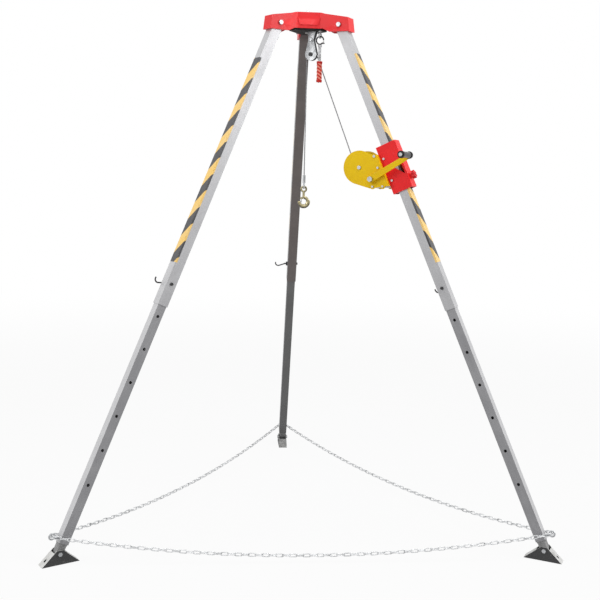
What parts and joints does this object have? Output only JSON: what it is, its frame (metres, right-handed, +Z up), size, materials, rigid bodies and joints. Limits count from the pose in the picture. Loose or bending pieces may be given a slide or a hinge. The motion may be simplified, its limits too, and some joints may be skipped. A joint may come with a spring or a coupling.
{
  "type": "rescue tripod",
  "caption": "Folding rescue tripod with telescopic pinned legs, red head, hand winch, wire rope over a pulley, lifting hook, tilting shoes and a foot chain.",
  "frame": {"origin": "bottom centre of the box, on the floor the shoes stand on", "axes": "+Z up; the camera of the picture looks roughly along +Y, with the winch leg at +X"},
  "size_m": [2.0556, 1.7802, 2.2307],
  "materials": {
    "red_paint": "gloss red paint",
    "yellow_paint": "yellow paint",
    "aluminium": "silver anodised extrusion",
    "steel": "zinc plated steel",
    "bolt": "bright zinc plated steel",
    "dark_steel": "black coated steel",
    "black_steel": "black coated wire and pin",
    "shoe_steel": "dark coated sheet steel",
    "black_plastic": "black moulded plastic",
    "red_plastic": "red moulded plastic",
    "wire_rope": "galvanised wire rope",
    "zinc_yellow": "yellow passivated forged steel",
    "red_rope": "red laid rope",
    "chain": "galvanised link chain"
  },
  "bodies": {
    "head": {"head_shell": "red_paint", "hinge_bolt_left": "bolt", "hinge_bolt_right": "bolt", "hinge_bolt_rear": "bolt", "spreader_plate": "dark_steel", "center_bolt": "bolt", "anchor_eye": "steel", "pulley_bracket": "steel", "pulley_plates": "steel", "pulley_axle": "bolt", "rope_on_sheave": "wire_rope"},
    "sheave": {"sheave": "black_plastic"},
    "upper_left": {"upper_leg_left": "aluminium"},
    "lower_left": {"lower_leg_left": "aluminium", "ankle_left": "steel", "chain_eye_left": "steel", "chain_left": "chain"},
    "foot_left": {"shoe_left": "shoe_steel", "foot_bolt_left": "bolt"},
    "pin_left": {"lock_pin_left": "black_steel"},
    "upper_right": {"upper_leg_right": "aluminium", "winch_bracket": "red_paint", "bracket_bolts": "bolt", "winch_frame": "yellow_paint", "frame_bolts": "bolt", "drum_axle": "bolt", "pawl_pin": "bolt", "rope_line": "wire_rope"},
    "lower_right": {"lower_leg_right": "aluminium", "ankle_right": "steel", "chain_eye_right": "steel", "chain_right": "chain"},
    "foot_right": {"shoe_right": "shoe_steel", "foot_bolt_right": "bolt"},
    "pin_right": {"lock_pin_right": "black_steel"},
    "upper_rear": {"upper_leg_rear": "aluminium"},
    "lower_rear": {"lower_leg_rear": "aluminium", "ankle_rear": "steel", "chain_eye_rear": "steel", "chain_rear": "chain"},
    "foot_rear": {"shoe_rear": "shoe_steel", "foot_bolt_rear": "bolt"},
    "pin_rear": {"lock_pin_rear": "black_steel"},
    "knob": {"clamp_knob": "red_plastic"},
    "drum": {"drum": "steel", "drum_gear": "steel", "rope_winding": "wire_rope"},
    "crank": {"pinion": "steel", "crank_arm": "yellow_paint", "crank_nut": "bolt", "grip_pin": "bolt"},
    "grip": {"grip": "black_plastic"},
    "pawl": {"pawl": "dark_steel"},
    "rope_end": {"rope_end": "steel", "rope_hanging": "wire_rope"},
    "hook": {"hook": "zinc_yellow"},
    "latch": {"hook_latch": "steel"},
    "snap": {"snap_hook": "steel", "rope_tail": "red_rope"},
    "gate": {"snap_gate": "bolt"}
  },
  "joints": [
    {"name": "leg_fold_left", "type": "hinge", "parent": "head", "child": "upper_left", "pos_m": [-0.1403, -0.36529, 2.15768], "axis": [0.5, -0.866, 0], "range_deg": [0, 24], "deforming": ["chain_left"]},
    {"name": "leg_fold_right", "type": "hinge", "parent": "head", "child": "upper_right", "pos_m": [0.1403, -0.36529, 2.15768], "axis": [0.5, 0.866, 0], "range_deg": [0, 17.5], "deforming": ["chain_right", "rope_line"]},
    {"name": "leg_fold_rear", "type": "hinge", "parent": "head", "child": "upper_rear", "pos_m": [0, -0.12229, 2.15768], "axis": [-1, 0, 0], "range_deg": [0, 24], "deforming": ["chain_rear"]},
    {"name": "leg_extend_left", "type": "slide", "parent": "upper_left", "child": "lower_left", "axis": [0.3522, 0.2034, 0.9135], "range_m": [0, 0.84], "deforming": ["chain_left"]},
    {"name": "leg_extend_right", "type": "slide", "parent": "upper_right", "child": "lower_right", "axis": [-0.3522, 0.2034, 0.9135], "range_m": [0, 0.84], "deforming": ["chain_right"]},
    {"name": "leg_extend_rear", "type": "slide", "parent": "upper_rear", "child": "lower_rear", "axis": [0, -0.4067, 0.9135], "range_m": [0, 0.84], "deforming": ["chain_rear"]},
    {"name": "lock_pin_left", "type": "slide", "parent": "upper_left", "child": "pin_left", "axis": [-0.5, 0.866, 0], "range_m": [0, 0.048]},
    {"name": "lock_pin_right", "type": "slide", "parent": "upper_right", "child": "pin_right", "axis": [0.5, 0.866, 0], "range_m": [0, 0.048]},
    {"name": "lock_pin_rear", "type": "slide", "parent": "upper_rear", "child": "pin_rear", "axis": [-1, 0, 0], "range_m": [0, 0.048]},
    {"name": "foot_tilt_left", "type": "hinge", "parent": "lower_left", "child": "foot_left", "pos_m": [-0.95645, -0.8365, 0.041], "axis": [0.5, -0.866, 0], "range_deg": [-25, 25]},
    {"name": "foot_tilt_right", "type": "hinge", "parent": "lower_right", "child": "foot_right", "pos_m": [0.95645, -0.8365, 0.041], "axis": [0.5, 0.866, 0], "range_deg": [-25, 25]},
    {"name": "foot_tilt_rear", "type": "hinge", "parent": "lower_rear", "child": "foot_rear", "pos_m": [0, 0.82012, 0.041], "axis": [-1, 0, 0], "range_deg": [-25, 25]},
    {"name": "drum_spin", "type": "hinge", "parent": "upper_right", "child": "drum", "pos_m": [0.24299, -0.42458, 1.54713], "axis": [-0.5, -0.866, 0], "range_deg": [-2250, 810]},
    {"name": "crank_spin", "type": "hinge", "parent": "upper_right", "child": "crank", "pos_m": [0.29275, -0.45331, 1.49892], "axis": [-0.5, -0.866, 0], "range_deg": [-3241, 9001]},
    {"name": "sheave_spin", "type": "hinge", "parent": "head", "child": "sheave", "pos_m": [0.01905, -0.29529, 2.03769], "axis": [-0.5, -0.866, 0], "range_deg": [-1216, 3376]},
    {"name": "hook_lift", "type": "slide", "parent": "head", "child": "rope_end", "axis": [0, 0, 1], "range_m": [-1.29641, 0.46703], "deforming": ["rope_hanging"]},
    {"name": "grip_spin", "type": "hinge", "parent": "crank", "child": "grip", "pos_m": [0.39122, -0.62563, 1.60193], "axis": [-0.5, -0.866, 0], "continuous": true},
    {"name": "pawl_swing", "type": "hinge", "parent": "upper_right", "child": "pawl", "pos_m": [0.30045, -0.45776, 1.59533], "axis": [-0.5, -0.866, 0], "range_deg": [0, 20], "stiffness_Nm_per_rad": 0.05},
    {"name": "knob_turn", "type": "hinge", "parent": "upper_right", "child": "knob", "pos_m": [0.43347, -0.53456, 1.52027], "axis": [0.7912, -0.4568, 0.4067], "continuous": true},
    {"name": "hook_swing", "type": "hinge", "parent": "rope_end", "child": "hook", "pos_m": [0, -0.28429, 1.45088], "axis": [0, 1, 0], "range_deg": [-35, 35]},
    {"name": "hook_latch", "type": "hinge", "parent": "hook", "child": "latch", "pos_m": [-0.01, -0.28429, 1.40769], "axis": [0, -1, 0], "range_deg": [0, 35], "stiffness_Nm_per_rad": 0.05},
    {"name": "snap_swing", "type": "hinge", "parent": "head", "child": "snap", "pos_m": [0.05139, -0.33128, 2.10568], "axis": [0.5, 0.866, 0], "range_deg": [-30, 10]},
    {"name": "snap_gate", "type": "hinge", "parent": "snap", "child": "gate", "pos_m": [0.06594, -0.33968, 2.08249], "axis": [-0.5, -0.866, 0], "range_deg": [0, 25], "stiffness_Nm_per_rad": 0.03}
  ],
  "couplings": [
    {"joint": "crank_spin", "follows": "drum_spin", "ratio": -4},
    {"joint": "sheave_spin", "follows": "drum_spin", "ratio": -1.5},
    {"joint": "hook_lift", "follows": "drum_spin", "m_per_rad": 0.033}
  ]
}
